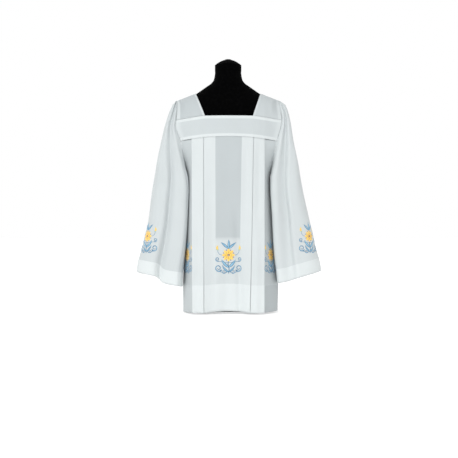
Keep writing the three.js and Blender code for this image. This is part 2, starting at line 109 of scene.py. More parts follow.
class Table:
    """Rows that run down in z, read smoothly between rows and never past the two values there."""

    def __init__(self, columns, rows):
        data = np.array(rows, float)[::-1]
        self.z = data[:, 0]
        self.columns = {name: data[:, k + 1] for k, name in enumerate(columns.split())}

    def __call__(self, column, z):
        values = self.columns[column]
        z = np.clip(z, self.z[0], self.z[-1])
        row = np.clip(np.searchsorted(self.z, z, side="right") - 1, 0, len(self.z) - 2)
        span = np.diff(self.z)
        secant = np.diff(values) / span
        before, after = secant[:-1], secant[1:]
        total = np.where(before * after > 0, before + after, 1)
        slope = np.zeros_like(values)
        slope[1:-1] = np.where(before * after > 0, 2 * before * after / total, 0)
        t = (z - self.z[row]) / span[row]
        ease = t * t * (3 - 2 * t)
        blend = values[row] * (1 - ease) + values[row + 1] * ease
        return blend + t * (1 - t) * span[row] * ((1 - t) * slope[row] - t * slope[row + 1])


SIDE_EDGES = Table("left right reach", [
    (958, 233, 231, 2),
    (938, 229, 230, 24),
    (905, 229, 236, 39),
    (865, 232, 241, 51),
    (840, 235, 238, 57),
    (770, 213, 219, 60),
    (674, 192, 199, 42),
    (602, 184, 190, 0.4),
    (450, 189, 199, 0.4),
    (300, 195, 209, 0.4),
    (130, 204, 227, 0.4),
    (0, 203, 224, 0.4),
])
# By z: |x| of the outer folds and of the slits, and |y| in the middle, at a slit and at an outer fold.
PLEAT_COLUMNS = "left_outer left_slit right_slit right_outer middle_y slit_y outer_y"
PLEATS = {
    FRONT: Table(PLEAT_COLUMNS, [
        (800, 162, 108, 113, 162, 112, 104, 89),
        (690, 161, 108, 111, 162, 114, 110, 97),
        (450, 160, 107, 107, 161, 116, 120, 109),
        (300, 159, 107, 104, 161, 115, 126, 117),
        (130, 158, 106, 100, 160, 112, 132, 125),
        (0, 157, 106, 97, 160, 109, 135, 128),
    ]),
    BACK: Table(PLEAT_COLUMNS, [
        (800, 160, 104, 106, 162, 108, 100, 86),
        (690, 161, 104, 106, 162, 110, 105, 93),
        (450, 163, 103, 107, 163, 113, 115, 104),
        (300, 164, 102, 108, 164, 114, 121, 112),
        (130, 165, 101, 109, 166, 113, 127, 120),
        (0, 166, 100, 110, 168, 112, 130, 124),
    ]),
}
# A crease is x and z of its start and its end, half width and depth, which is below 0 on a ridge.
SKIRT_CREASES = {
    FRONT: [
        (-80, 700, -66, 60, 16, 2.4),
        (34, 540, 66, -260, 16, 9.0),
        (-30, 420, -46, -200, 22, -4.0),
        (80, 820, 70, 300, 13, 3.0),
        (12, 770, -4, 500, 26, 1.6),
        (-134, 620, -138, -80, 11, 2.2),
        (138, 820, 130, 360, 12, 3.6),
        (126, 420, 126, -150, 13, -3.0),
        (-182, 560, -186, 40, 9, 2.5),
        (190, 500, 204, 30, 10, 3.0),
    ],
    BACK: [
        (-60, 760, -52, 80, 18, 2.6),
        (20, 640, 34, -10, 22, 3.8),
        (72, 600, 80, 40, 15, -2.4),
        (-20, 380, -30, 0, 20, -2.6),
        (-132, 600, -136, 60, 12, 1.6),
        (134, 700, 138, 200, 13, 1.8),
        (-186, 540, -190, 40, 9, 2.4),
        (188, 560, 200, 60, 10, 2.6),
    ],
}
YOKE_CREASES = [
    (-150, 960, -190, 800, 13, 1.6),
    (168, 950, 204, 810, 15, 2.0),
    (-118, 900, -128, 780, 12, -1.0),
    (60, 872, 66, 792, 16, 1.0),
    (-40, 872, -34, 792, 20, 0.8),
    (140, 880, 132, 790, 12, -1.2),
]

# ---- Sleeves ------------------------------------------------------------------------------------
SLEEVE_LEVELS = Table("left right depth left_gap right_gap left_lean right_lean", [
    (958, 237, 235, 6, 0, 0, 0, 0),
    (938, 252, 260, 33, 0, 0, 0, 0),
    (870, 278, 280, 62, 0, 0, 0, 0),
    (780, 300, 294, 74, 0, 0, 0, 0),
    (660, 325, 319, 82, 1, 1, 20, 20),
    (540, 346, 341, 86, 3, 3, 40, 40),
    (420, 361, 368, 88, 4, 3, 42, 46),
    (300, 389, 396, 90, 5, 3, 40, 54),
    (190, 414, 421, 93, 6, 3, 36, 62),
])
# A sleeve's cross-section is a superellipse: its power at the head, then lower down, and where along
# the sleeve the lower one is reached.
HEAD_POWER, SLEEVE_POWER, HEAD_SHARE = 2.1, 3, 0.22
SLEEVE_TOP = 956.5
LEAN_SHARE = {"left": 1.15, "right": 0.8}
SLEEVE_COLUMNS = 161
# Heights of the cuff's inner and outer side, and how far it steps between them instead of sloping.
CUFF = {
    "left": {"inner": 121, "outer": 183, "step": 0.4},
    "right": {"inner": 137, "outer": 189, "step": 0},
}
# Folds down a sleeve. around is degrees from the body over the front at the head and the cuff, and
# how far it bows between; depth likewise; width is in degrees.
SLEEVE_FOLDS = {
    "left": [
        {"around": (84, 97, 14), "width": 12, "depth": (9, 34, 6)},
        {"around": (238, 238, 0), "width": 20, "depth": (2, 17, 0)},
        {"around": (292, 292, 0), "width": 16, "depth": (1, 10, 0)},
    ],
    "right": [
        {"around": (90, 87, 5), "width": 10, "depth": (7, 22, 14)},
        {"around": (262, 262, 0), "width": 18, "depth": (2, 21, 0)},
    ],
}

# Soft creases of the sleeves: degrees round, half width in degrees, down from and to, depth.
SLEEVE_CREASES = {
    "left": [
        (60, 10, 0.05, 0.75, 3.0), (128, 12, 0.3, 1.1, 3.5), (150, 11, 0.1, 0.7, -2.5),
        (74, 7, 0.55, 1.2, -3.0), (200, 14, 0.2, 1.1, 4.0), (330, 12, 0.3, 1.1, 2.0),
    ],
    "right": [
        (58, 10, 0.3, 1.1, -2.5), (118, 13, 0.25, 1.1, 3.0), (146, 12, 0.05, 0.6, -2.5),
        (100, 9, 0.6, 1.2, -1.8), (205, 15, 0.2, 1.1, 5.0), (310, 12, 0.3, 1.1, 3.0),
    ],
}

# ---- Dress form ---------------------------------------------------------------------------------
TORSO = Table("half front back power", [
    (1089, 59, 58, 58, 2),
    (1071, 61, 60, 60, 2),
    (1053, 65, 62, 63, 2),
    (1037, 76, 63, 66, 2),
    (1019, 101, 65, 68, 2),
    (1003, 124, 68, 69, 2),
    (988, 146, 71, 70, 2),
    (972, 180, 75, 71, 2),
    (957, 207, 80, 74, 2.1),
    (942, 219, 85, 78, 2.2),
    (915, 223, 93, 85, 2.3),
    (870, 219, 99, 93, 2.4),
    (820, 203, 101, 96, 2.4),
    (750, 178, 101, 96, 2.4),
    (690, 168, 100, 94, 2.4),
    (610, 156, 96, 86, 2.3),
    (530, 148, 92, 82, 2.2),
    (460, 153, 93, 90, 2.2),
    (400, 161, 97, 99, 2.3),
    (342, 164, 98, 101, 2.3),
])
TORSO_TOP, TORSO_BOTTOM = 1089, 342
TORSO_SIDES = 160
CAP_DOME = 24.5

# Dark and light colours of the other finishes.
JERSEY = (0.0005, 0.0005, 0.0006, 1), (0.0016, 0.0016, 0.0017, 1)
LACQUER = (0.008, 0.008, 0.008, 1), (0.02, 0.02, 0.02, 1)
PAINT = (0.8, 0.81, 0.81, 1), (0.86, 0.87, 0.87, 1)
SEWING_THREAD = (0.58, 0.61, 0.62, 1), (0.7, 0.73, 0.74, 1)

# ---- Embroidery: a sprig in its own millimetres, from the middle of its foot ---------------------
MOTIF_WIDTH, MOTIF_HEIGHT = 125, 153
BLOSSOM = {"centre": (0, 84), "reach": 29, "petals": 8}
STEM = [(0, 57), (-2, 42), (2, 24), (0, 3)]
TOP_LEAF = ((0, 113), (2, 132), (0, 152), 6.0)
# Leaves of the sprig's right half: start, control, end and half width.
LEAVES = [
    ((1, 112), (16, 128), (34, 140), 5.6),
    ((0, 30), (20, 44), (31, 64), 6.4),
    ((0, 10), (17, 16), (28, 40), 5.0),
]
# Scrolls of the right half: centre, radius, turns, start angle and weight.
SCROLLS = [
    ((45, 27), 15.5, 1.35, -150, 2.9),
    ((49, 66), 9.5, 1.3, -120, 2.3),
    ((22, 11), 7.5, 1.1, -160, 1.8),
]
# Stalks that carry them, in points from the stem outwards, and their half width.
STALKS = [
    (((3, 12), (20, 3), (33, 10), (45, 11.5)), 1.2),
    (((2, 52), (20, 52), (36, 56), (47, 56)), 1.0),
    (((30, 84), (40, 88), (47, 99), (48, 106)), 1.0),
]
# A bud's start, control, end and half width.
BUD = ((48, 106), (53, 116), (49, 127), 5.2)
# Thread colours, dark and light, and the slot name of each.
THREADS = {
    "gold": ((0.74, 0.44, 0.06, 1), (0.98, 0.72, 0.2, 1), "thread_gold"),
    "amber": ((0.2, 0.05, 0.02, 1), (0.38, 0.12, 0.04, 1), "thread_gold"),
    "green": ((0.2, 0.42, 0.2, 1), (0.36, 0.6, 0.33, 1), "thread_sky"),
    "blue": ((0.03, 0.12, 0.23, 1), (0.09, 0.26, 0.41, 1), "thread_blue"),
    "sky": ((0.2, 0.43, 0.6, 1), (0.42, 0.64, 0.78, 1), "thread_sky"),
}
# Where a motif is: its middle lies centre along the cloth from where the cloth gets start away from
# the middle plane, and its foot is that high above the floor.
SKIRT_FOOT, MIDDLE_SHIFT = 178, 2.5
SIDE_MOTIFS = {"left": {"start": 158, "centre": 62}, "right": {"start": 160, "centre": 60}}
SLEEVE_MOTIF = {"start": 313, "centre": 57, "foot": 268, "scale": 0.92}
LATTICE = {"across": 1.25, "up": 2.0}

# ---- Camera, floor and lights; the camera is in metres ------------------------------------------
CAMERA = {"place": (0.004, -4.0, 0.377), "lens": 69.3, "sensor": 36}
FLOOR = {"reach": 30000, "dark": (0.56, 0.56, 0.56, 1), "pale": (0.58, 0.58, 0.58, 1), "glow": 0.58}
CEILING = {"From Min": 0.3, "From Max": 0.62, "To Min": 1.0, "To Max": 0.55}
# Power, angular size, degrees above the floor, and degrees to the left of the camera.
LIGHTS = {"key": (1.45, 30, 40, 24), "fill": (0.45, 20, 8, -4), "back": (1.0, 60, 35, 165)}


# ---- Small helpers ------------------------------------------------------------------------------

def mix(start, end, t):
    return start + (end - start) * t


def smooth(t):
    t = np.clip(t, 0, 1)
    return t * t * (3 - 2 * t)


def signed_power(value, power):
    return np.sign(value) * np.abs(value) ** power


def unit(vectors):
    return vectors / np.maximum(np.linalg.norm(vectors, axis=-1, keepdims=True), 1e-9)


def arc_lengths(grid, axis):
    """Distance along each line of a grid, from its first point."""
    steps = np.linalg.norm(np.diff(grid, axis=axis), axis=-1)
    start = np.zeros_like(np.take(steps, [0], axis=axis))
    return np.concatenate([start, np.cumsum(steps, axis=axis)], axis=axis)


def grid_normals(grid, outward):
    """Normals of a grid of points; outward is 1 or -1 and picks the side."""
    across = unit(np.gradient(grid, axis=1))
    along = unit(np.gradient(grid, axis=0))
    return unit(np.cross(across, along)) * outward


def make_mesh(name, points, faces, material, uv=None, veil_and_shade=None, flat=0):
    """An object from points in millimetres. uv is in metres, the cloth's grey of see-through and painted
    shade is a number per point, and the last faces, as many as flat says, have no smooth shading."""
    mesh = bpy.data.meshes.new(name)
    faces = faces.tolist() if isinstance(faces, np.ndarray) else faces
    mesh.from_pydata((np.asarray(points, float) * MM).tolist(), [], faces)
    corner_points = np.zeros(len(mesh.loops), int)
    mesh.loops.foreach_get("vertex_index", corner_points)
    if uv is not None:
        layer = mesh.uv_layers.new(name="cloth")
        layer.data.foreach_set("uv", uv[corner_points].astype(np.float32).ravel())
    if veil_and_shade is not None:
        attribute = mesh.attributes.new("veil_and_shade", "FLOAT", "POINT")
        attribute.data.foreach_set("value", veil_and_shade.astype(np.float32))
    mesh.polygons.foreach_set("use_smooth", [True] * (len(faces) - flat) + [False] * flat)
    mesh.materials.append(material)
    obj = bpy.data.objects.new(name, mesh)
    bpy.context.scene.collection.objects.link(obj)
    return obj


def add_piece(obj, node=None):
    """Puts a finished piece under the root body, and hides the CAD node that it stands for, if one is given.
    """
    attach(obj, "root")
    if node:
        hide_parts(node)


def grid_faces(rows, columns, first, wrap=False, flip=False):
    """Four-sided faces of a grid whose points start at index first."""
    row, column = np.meshgrid(np.arange(rows - 1), np.arange(columns - (not wrap)), indexing="ij")
    row, column = row.ravel(), column.ravel()
    after = (column + 1) % columns
    quads = [row * columns + column, row * columns + after]
    quads += [(row + 1) * columns + after, (row + 1) * columns + column]
    faces = np.stack(quads, axis=1) + first
    return faces[:, ::-1] if flip else faces


# ---- Materials ----------------------------------------------------------------------------------

class Finish:
    """A material in the making: its Principled shader, and short calls that add nodes to it."""

    def __init__(self, name, roughness, sheen=0.0, specular=0.3):
        self.material = bpy.data.materials.new(name)
        self.material.use_nodes = True
        self.tree = self.material.node_tree
        self.shader = self.tree.nodes["Principled BSDF"]
        self.give("Roughness", roughness)
        self.give("Sheen Weight", sheen)
        self.give("Specular IOR Level", specular)

    def give(self, name, value, node=None):
        """Sets an input of the shader or of a node to a constant or to another node's output."""
        socket = (node or self.shader).inputs[name]
        if isinstance(value, bpy.types.NodeSocket):
            self.tree.links.new(value, socket)
        else:
            socket.default_value = value

    def add(self, kind, output, inputs, **settings):
        node = self.tree.nodes.new(kind)
        for key, value in settings.items():
            setattr(node, key, value)
        for key, value in inputs.items():
            self.give(key, value, node)
        return node.outputs[output]

    def place(self):
        return self.add("ShaderNodeTexCoord", "Object", {})

    def cloth_uv(self):
        return self.add("ShaderNodeUVMap", 0, {}, uv_map="cloth")

    def noise(self, vector, scale, detail=2.0):
        return self.add("ShaderNodeTexNoise", "Fac", {"Vector": vector, "Scale": scale, "Detail": detail})

    def wave(self, vector, scale, distortion, way="X", detail=2.0, detail_scale=1.0):
        inputs = {"Vector": vector, "Scale": scale, "Distortion": distortion, "Detail": detail}
        inputs["Detail Scale"] = detail_scale
        return self.add("ShaderNodeTexWave", "Fac", inputs, wave_type="BANDS", bands_direction=way)

    def spread(self, value, low, high, start=0.0, end=1.0):
        """Spreads a value that runs from start to end over low to high."""
        inputs = {"Value": value, "From Min": start, "From Max": end, "To Min": low, "To Max": high}
        return self.add("ShaderNodeMapRange", 0, inputs)

    def math(self, operation, first, second):
        return self.add("ShaderNodeMath", 0, {0: first, 1: second}, operation=operation)

    def mix(self, factor, first, second, blend="MIX"):
        inputs = {0: factor, 6: first, 7: second}
        return self.add("ShaderNodeMix", 2, inputs, data_type="RGBA", blend_type=blend)

    def bump(self, height, strength, distance=0.0003):
        inputs = {"Height": height, "Strength": strength, "Distance": distance}
        self.give("Normal", self.add("ShaderNodeBump", 0, inputs))


def cloth_material():
    """White plain weave, darkened by a number per point where one layer lies over the black form, and as
    painted shade on the sleeves, the side panels, the skirt below the form and the left shoulder.
    """
    finish = Finish("cloth", roughness=0.86, sheen=0.12, specular=0.22)
    uv = finish.cloth_uv()
    warp, weft = (finish.wave(uv, 400.0, 0.6, way, detail=1.0, detail_scale=2.0) for way in "XY")
    weave = finish.math("MULTIPLY", warp, weft)
    slubs = finish.noise(uv, 160.0, 4.0)
    drift = finish.noise(finish.place(), 7.0, 3.0)
    veil_and_shade = finish.add("ShaderNodeAttribute", "Fac", {}, attribute_name="veil_and_shade")
    colour = finish.mix(veil_and_shade, CLOTH_WHITE, CLOTH_OVER_BLACK_AND_SHADED)
    uneven = finish.spread(drift, 0.965, 1.0, start=0.3, end=0.7)
    shade = finish.math("MULTIPLY", uneven, finish.spread(weave, 0.955, 1.0))
    finish.give("Base Color", finish.mix(1.0, colour, shade, "MULTIPLY"))
    finish.bump(finish.math("ADD", weave, slubs), 0.16)
    finish.give("Roughness", finish.spread(slubs, 0.8, 0.94))
    return finish.material


def form_material():
    """Black jersey, matte, with fine ribs and a little lint."""
    finish = Finish("form_jersey", roughness=0.95, sheen=0.005, specular=0.02)
    place = finish.place()
    worn = finish.spread(finish.noise(place, 90.0, 6.0), 0.0, 1.0, start=0.45, end=0.75)
    finish.give("Base Color", finish.mix(worn, *JERSEY))
    finish.bump(finish.wave(place, 260.0, 1.2), 0.25)
    return finish.material


def knob_material():
    """Satin black lacquer on a turned wooden knob."""
    finish = Finish("knob_lacquer", roughness=0.4, specular=0.4)
    grain = finish.noise(finish.place(), 60.0, 5.0)
    finish.give("Base Color", finish.mix(grain, *LACQUER))
    finish.give("Roughness", finish.spread(grain, 0.3, 0.5))
    return finish.material


def paint_material():
    """Pale powder coat with its fine orange peel."""
    finish = Finish("stand_paint", roughness=0.5, specular=0.4)
    place = finish.place()
    dust = finish.noise(place, 14.0, 4.0)
    finish.give("Base Color", finish.mix(dust, *PAINT))
    finish.bump(finish.noise(place, 900.0), 0.2, distance=0.0002)
    finish.give("Roughness", finish.spread(dust, 0.42, 0.6))
    return finish.material


def thread_material(colour, dark, light):
    """Embroidery thread: fine strands across a stitched shape, uneven in tone."""
    finish = Finish(colour + "_thread", roughness=0.5, sheen=0.25, specular=0.35)
    uv = finish.cloth_uv()
    strands = finish.wave(uv, 420.0, 0.8)
    tone = finish.math("MULTIPLY", strands, finish.noise(uv, 300.0))
    finish.give("Base Color", finish.mix(finish.spread(tone, 0.0, 1.0, end=0.6), dark, light))
    finish.bump(strands, 0.5)
    return finish.material


def stitch_thread_material():
    """White sewing thread with a slight lustre."""
    finish = Finish("sewing_thread", roughness=0.5, sheen=0.1, specular=0.3)
    twist = finish.noise(finish.place(), 900.0)
    finish.give("Base Color", finish.mix(twist, *SEWING_THREAD))
    return finish.material


# ---- Surfaces -----------------------------------------------------------------------------------

def panel_depth(facing, x, z):
    """How far the front or back lies from the middle plane, with no pleat in it."""
    table = PLEATS[facing]
    left = x < 0
    slit = np.where(left, table("left_slit", z), table("right_slit", z))
    outer = np.where(left, table("left_outer", z), table("right_outer", z))
    edge = np.where(left, SIDE_EDGES("left", z), SIDE_EDGES("right", z))
    away = np.abs(x)
    middle = mix(table("middle_y", z), table("slit_y", z), (away / slit) ** 2)
    strip = mix(table("slit_y", z), table("outer_y", z), (away - slit) / (outer - slit))
    side = mix(table("outer_y", z), SIDE_EDGES("reach", z), (away - outer) / (edge - outer))
    return np.where(away <= slit, middle, np.where(away <= outer, strip, side))


def crease_relief(creases, x, z):
    """Soft troughs and ridges along straight lines on a panel."""
    relief = np.zeros(np.broadcast(x, z).shape)
    for x0, z0, x1, z1, width, depth in creases:
        run = np.hypot(x1 - x0, z1 - z0)
        along = ((x - x0) * (x1 - x0) + (z - z0) * (z1 - z0)) / run
        off = ((x - x0) * (z1 - z0) - (z - z0) * (x1 - x0)) / run
        ends = smooth(along / (0.3 * run)) * smooth((run - along) / (0.3 * run))
        relief -= depth * np.exp(-((off / width) ** 2)) * ends
    return relief


# A pleated half is a route of stations from the side edge to the middle. The x of a station is a
# sum of the outer fold, the slit, millimetres and the radius of a fold, in these parts.
OUTER, SLIT, ONE_MM, TURN = np.eye(4)
STRIP_MIDDLE = (OUTER + SLIT) / 2


def pleat_stations():
    """Route of the pleated half, after the side panel: x parts, layer and veil of each station."""
    parts, layers, veils = [], [], []

    def line(start, end, steps, layer, veil_and_shade):
        for t in np.linspace(0, 1, steps, endpoint=False):
            parts.append(mix(start, end, t))
            layers.append(layer)
            veils.append(veil_and_shade)

    def fold(at, way, first, last, veil_and_shade):
        for angle in np.linspace(-90, 90, FOLD_POINTS):
            turn = math.radians(angle)
            parts.append(at + TURN * way * (math.cos(turn) - 1))
            layers.append((first + last) / 2 + (last - first) / 2 * math.sin(turn))
            veils.append(veil_and_shade)

    half_gap = ONE_MM * SLIT_GAP / 2
    meet_out, meet_in = STRIP_MIDDLE + half_gap, STRIP_MIDDLE - half_gap
    line(OUTER - TURN, meet_out + TURN, UNDER_STEPS, 2, VEIL_HIDDEN)
    fold(meet_out, -1, 2, 1, VEIL_HIDDEN)
    line(meet_out + 2 * TURN, OUTER - 2 * TURN, UNDER_STEPS, 1, VEIL_HIDDEN)
    fold(OUTER, 1, 1, 0, VEIL_STRIP)
    line(OUTER - 2 * TURN, SLIT + half_gap + 2 * TURN, STRIP_STEPS, 0, VEIL_STRIP)
    fold(SLIT + half_gap, -1, 0, 1, VEIL_STRIP)
    line(SLIT + half_gap + 2 * TURN, meet_in - 2 * TURN, UNDER_STEPS, 1, VEIL_HIDDEN)
    fold(meet_in, 1, 1, 2, VEIL_HIDDEN)
    tuck = SLIT - ONE_MM * UNDERLAY
    line(meet_in - 2 * TURN, tuck + 2 * TURN, TUCK_STEPS, 2, VEIL_HIDDEN)
    fold(tuck, -1, 2, 1, VEIL_HIDDEN)
    line(tuck + 2 * TURN, SLIT - half_gap - 2 * TURN, RETURN_STEPS, 1, VEIL_HIDDEN)
    fold(SLIT - half_gap, 1, 1, 0, VEIL_TRIPLE)
    line(SLIT - half_gap - 2 * TURN, tuck + ONE_MM, TRIPLE_STEPS, 0, VEIL_TRIPLE)
    line(tuck + ONE_MM, tuck - ONE_MM, 1, 0, VEIL_TRIPLE)
    line(tuck - ONE_MM, 0 * SLIT, SINGLE_STEPS, 0, VEIL_SINGLE)
    return np.array(parts), np.array(layers), np.array(veils)


STATIONS, STATION_LAYERS, STATION_VEILS = pleat_stations()


def pleated_half(facing, side, z, x_only=False):
    """x, y and grey of a grid of stations, with painted shade on the side panel; z is rows by stations, side
    panel first.
    """
    table = PLEATS[facing]
    outer, slit = table(f"{side}_outer", z), table(f"{side}_slit", z)
    pitch = mix(PLEAT_PITCH["cloth"], PLEAT_PITCH["hem"], smooth((HEM + 60 - z) / 60))
    panel, pleat = np.s_[:, :SIDE_STEPS], np.s_[:, SIDE_STEPS:]
    landmarks = np.stack([outer, slit, np.ones_like(outer), pitch / 2], axis=-1)
    x = np.zeros_like(z)
    x[pleat] = (landmarks[pleat] * STATIONS).sum(axis=-1)
    # The side panel is a curve from the side edge, round the side, to under the strip.
    t = np.linspace(0, 1, SIDE_STEPS, endpoint=False)
    edge, reach = SIDE_EDGES(side, z)[panel], SIDE_EDGES("reach", z)[panel]
    rounding = SIDE_ROUND * np.clip(1 - reach / 50, 0, 1)
    end_x = (outer - pitch / 2)[panel]
    x[panel] = mix(edge, mix(edge, end_x, t), t)
    sign = SIDES[side]
    if x_only:
        return x
    on_face = np.minimum(x, outer)
    y = panel_depth(facing, sign * on_face, z)
    relief = crease_relief(SKIRT_CREASES[facing], sign * on_face, z)
    y[pleat] += relief[pleat] - (STATION_LAYERS * pitch[pleat])
    emerge = panel_depth(facing, sign * outer, z)[panel] - 2 * pitch[panel]
    corner = reach + rounding
    y[panel] = mix(mix(reach, corner, t), mix(corner, emerge, t), t)
    bulge = relief[panel] * smooth(t * 4) * smooth((1 - t) * 6)
    y[panel] += 0.5 * bulge
    x[panel] += 0.86 * bulge
    veil_and_shade = np.zeros_like(z)
    # The side panel is grey all over: one layer over the form, and painted shade of the hollow and of the
    # sleeve beside it.
    veil_and_shade[panel] = VEIL_AND_SHADE_SIDE
    veil_and_shade[pleat] = STATION_VEILS
    return x, y, veil_and_shade


def hem_bottom(facing, side, x):
    table = PLEATS[facing]
    outer, slit = table(f"{side}_outer", 0.0), table(f"{side}_slit", 0.0)
    middle = mix(HEM_BOTTOM["middle"], HEM_BOTTOM["strip"], (x / slit) ** 2)
    beyond = mix(HEM_BOTTOM["strip"], HEM_BOTTOM[side], smooth((x - outer) / 30))
    return np.where(x < slit, middle, beyond)


def skirt_grid(facing, downs):
    """The whole pleated panel, from the left side edge to the right, and its grey of see-through and painted
    shade.
    """
    halves = []
    for side, sign in SIDES.items():
        level = mix(BAND_BOTTOM[facing], HEM_BOTTOM["strip"], downs)[:, None]
        z = np.repeat(level, SIDE_STEPS + len(STATIONS), axis=1)
        x = pleated_half(facing, side, z, x_only=True)
        widest = SIDE_EDGES(side, BAND_LEVEL)
        top = BAND_BOTTOM[facing] - BAND_DROOP * (x / widest) ** 2 - SEAM / 2
        z = mix(top, hem_bottom(facing, side, x), downs[:, None])
        x, y, veil_and_shade = pleated_half(facing, side, z)
        halves.append((np.stack([sign * x, facing * y, z], axis=-1), veil_and_shade))
    (left, left_veil), (right, right_veil) = halves
    seat = (left[:, -1:] + right[:, -1:]) / 2 * np.array([0, 1, 1])
    grid = np.concatenate([left, seat, right[:, ::-1]], axis=1)
    veil_and_shade = np.concatenate([left_veil, left_veil[:, -1:], right_veil[:, ::-1]], axis=1)
    # One layer is full grey where the black form is behind it, down to just below its bottom; lower down it
    # keeps a lighter grey, painted shade of the skirt's hollow inside.
    over_form = smooth((grid[..., 2] - TORSO_BOTTOM + 14) / 16)
    veil_and_shade = np.where(veil_and_shade == VEIL_SINGLE, mix(PAINTED_SHADE_BELOW_FORM, veil_and_shade, over_form), veil_and_shade)
    return grid, veil_and_shade


def shoulder_grid(facing_rows, side, across):
    """The shoulder piece. facing_rows are (facing, drop) from the front foot to the back foot."""
    sign = SIDES[side]
    rows = []
    for facing, drop in facing_rows:
        neck_x = mix(RIDGE["neck_x"], NECK[facing][side], drop)
        foot_z = NECK[facing]["z"] - BAND_TOP_DROOP * across
        ridge_out = RIDGE["neck_z"] - RIDGE["slope"] * (SIDE_EDGES(side, SHOULDER_POINT) - RIDGE["neck_x"])
        z = mix(mix(RIDGE["neck_z"], ridge_out, across), foot_z, drop)
        x = mix(neck_x, SIDE_EDGES(side, z), across)
        profile = (1 - (1 - drop) ** SHOULDER_FULLNESS) ** (1 / SHOULDER_FULLNESS)
        foot_y = panel_depth(facing, sign * x * 0.995, foot_z)
        outward = smooth((across - 0.6) / 0.4) * (1 - smooth((drop - 0.45) / 0.55))
        y = mix(foot_y * profile, SIDE_EDGES("reach", z), outward)
        y = y + crease_relief(YOKE_CREASES, sign * x, z)
        rows.append(np.stack([sign * x, facing * y, z + (SEAM / 2 if drop == 1 else 0)], axis=-1))
    return np.array(rows)


def band_grid(facing, rows, columns):
    way = np.linspace(-1, 1, columns)[None, :]
    left = way < 0
    top_edge = NECK[facing]["z"]
    edge = np.where(left, SIDE_EDGES("left", top_edge), SIDE_EDGES("right", top_edge))
    neck = np.where(left, NECK[facing]["left"], NECK[facing]["right"])
    beyond = np.clip((edge * np.abs(way) - neck) / (edge - neck), 0, 1)
    top = top_edge - BAND_TOP_DROOP * beyond - SEAM / 2
    bottom = BAND_BOTTOM[facing] - BAND_DROOP * way ** 2 + SEAM / 2
    z = mix(top, bottom, np.linspace(0, 1, rows)[:, None])
    x = way * np.where(left, SIDE_EDGES("left", z), SIDE_EDGES("right", z))
    y = panel_depth(facing, x * 0.995, z) + crease_relief(YOKE_CREASES, x, z)
    return np.stack([x, facing * y, z], axis=-1)


def sleeve_grid(side, downs, columns):
    """The sleeve from its head to the cuff, front seam edge round the outside to the back one."""
    sign, cuff = SIDES[side], CUFF[side]
    down = downs[:, None]
    inner_z = mix(SLEEVE_TOP, cuff["inner"], down)
    outer_z = mix(SLEEVE_TOP, cuff["outer"], down)
    reach = SIDE_EDGES("reach", inner_z)
    inner = SIDE_EDGES(side, inner_z) + 2 * SEAM + SLEEVE_LEVELS(f"{side}_gap", inner_z)
    outer = SLEEVE_LEVELS(side, outer_z)
    depth = SLEEVE_LEVELS("depth", inner_z)
    lean = SLEEVE_LEVELS(f"{side}_lean", inner_z) * LEAN_SHARE[side]
    start_y = np.minimum(reach / depth, 0.97)
    power = mix(HEAD_POWER, SLEEVE_POWER, smooth(down / HEAD_SHARE))
    start_angle = np.arcsin(start_y ** (power / 2))
    half = (outer - inner) / (1 + np.cos(start_angle) ** (2 / power))
    centre = outer - half
    way = np.linspace(0, 1, columns)[None, :]
    angle = mix(start_angle, 2 * np.pi - start_angle, way)
    degrees = np.degrees(angle)
    squeeze = np.zeros_like(degrees)
    for fold in SLEEVE_FOLDS[side]:
        around, depth_here = (mix(top, cuff, down) + bow * np.sin(np.pi * down)
                              for top, cuff, bow in (fold["around"], fold["depth"]))
        squeeze += depth_here * np.exp(-(((degrees - around) / fold["width"]) ** 2))
    for around, width, start, end, crease in SLEEVE_CREASES[side]:
        run = smooth((down - start) / 0.25) * smooth((end - down) / 0.25)
        squeeze += crease * run * np.exp(-(((degrees - around) / width) ** 2))
    along_x = signed_power(np.cos(angle), 2 / power)
    along_y = signed_power(np.sin(angle), 2 / power)
    forward = np.maximum(along_y - start_y, 0) / (1 - start_y)
    x = centre - half * along_x - lean * forward ** 2
    y = -depth * along_y
    keep = 1 - squeeze / np.maximum(np.hypot(x - centre, y), 1)
    outwards = np.clip((x - inner) / (outer - inner), 0, 1)
    rise = mix(outwards, smooth((outwards - 0.3) / 0.3), cuff["step"])
    x = centre + (x - centre) * keep
    return np.stack([sign * x, y * keep, mix(inner_z, outer_z, rise)], axis=-1)


# ---- Cloth pieces -------------------------------------------------------------------------------

